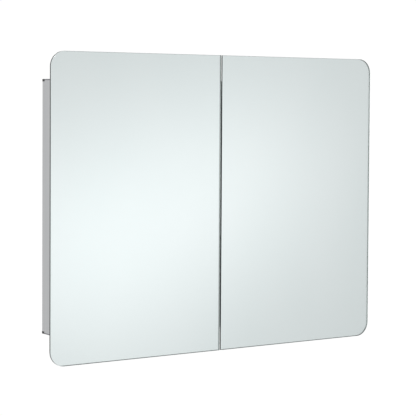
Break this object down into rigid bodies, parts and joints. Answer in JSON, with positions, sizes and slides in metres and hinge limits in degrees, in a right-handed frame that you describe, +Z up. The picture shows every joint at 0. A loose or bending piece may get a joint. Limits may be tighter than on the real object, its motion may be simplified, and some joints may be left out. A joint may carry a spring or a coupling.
{
  "type": "medicine cabinet with mirror",
  "caption": "Slim wall-hung medicine cabinet: frameless mirror doors with rounded outer corners overhang a satin aluminium body with glass shelves.",
  "frame": {"origin": "on the wall plane, at the middle of the four wall screws and of the cabinet body's back", "axes": "+X across to the right as seen from the front, +Y into the wall (the mirrors face -Y), +Z up"},
  "size_m": [0.65, 0.105, 0.5],
  "materials": {
    "silvered_glass": "silvered float glass with polished edges",
    "anodised": "satin anodised",
    "door_aluminium": "satin anodised",
    "coated_back": "fine matt powder coat",
    "black_plastic": "moulded, fine texture",
    "white_plastic": "moulded, satin",
    "clear_plastic": "moulded, clear",
    "soft_pads": "soft translucent",
    "foam_tape": "closed-cell foam",
    "shelf_glass": "float glass with polished edges",
    "stainless": "satin",
    "nickel": "nickel plated",
    "zinc": "bright zinc plated"
  },
  "bodies": {
    "cabinet": {"top_profile": "anodised", "bottom_profile": "anodised", "back_panel": "coated_back", "corner_caps": "black_plastic", "frame_screws": "stainless", "wall_spacers": "white_plastic", "shelf_clips": "clear_plastic", "shelf_pads": "soft_pads", "lower_shelf": "shelf_glass", "upper_shelf": "shelf_glass", "magnet_cups": "white_plastic", "magnets": "nickel", "left_side_profile": "anodised", "left_shelf_strips": "white_plastic", "left_body_leaves": "stainless", "left_hinge_pins": "stainless", "left_body_screws": "stainless", "left_nut_plates": "zinc", "right_side_profile": "anodised", "right_shelf_strips": "white_plastic", "right_body_leaves": "stainless", "right_hinge_pins": "stainless", "right_body_screws": "stainless", "right_nut_plates": "zinc"},
    "left_door": {"left_mirror": "silvered_glass", "left_bond_tape": "foam_tape", "left_hinge_stile": "door_aluminium", "left_meeting_stile": "door_aluminium", "left_top_rail": "door_aluminium", "left_bottom_rail": "door_aluminium", "left_corner_keys": "zinc", "left_inner_mirror": "silvered_glass", "left_strike_plates": "nickel", "left_buffers": "soft_pads", "left_door_leaves": "stainless", "left_door_screws": "stainless"},
    "right_door": {"right_mirror": "silvered_glass", "right_bond_tape": "foam_tape", "right_hinge_stile": "door_aluminium", "right_meeting_stile": "door_aluminium", "right_top_rail": "door_aluminium", "right_bottom_rail": "door_aluminium", "right_corner_keys": "zinc", "right_inner_mirror": "silvered_glass", "right_strike_plates": "nickel", "right_buffers": "soft_pads", "right_door_leaves": "stainless", "right_door_screws": "stainless"}
  },
  "joints": [
    {"name": "left_door_hinge", "type": "hinge", "parent": "cabinet", "child": "left_door", "pos_m": [-0.2885, -0.08825, 0], "axis": [0, 0, -1], "range_deg": [0, 110]},
    {"name": "right_door_hinge", "type": "hinge", "parent": "cabinet", "child": "right_door", "pos_m": [0.2885, -0.08825, 0], "axis": [0, 0, 1], "range_deg": [0, 110]}
  ]
}
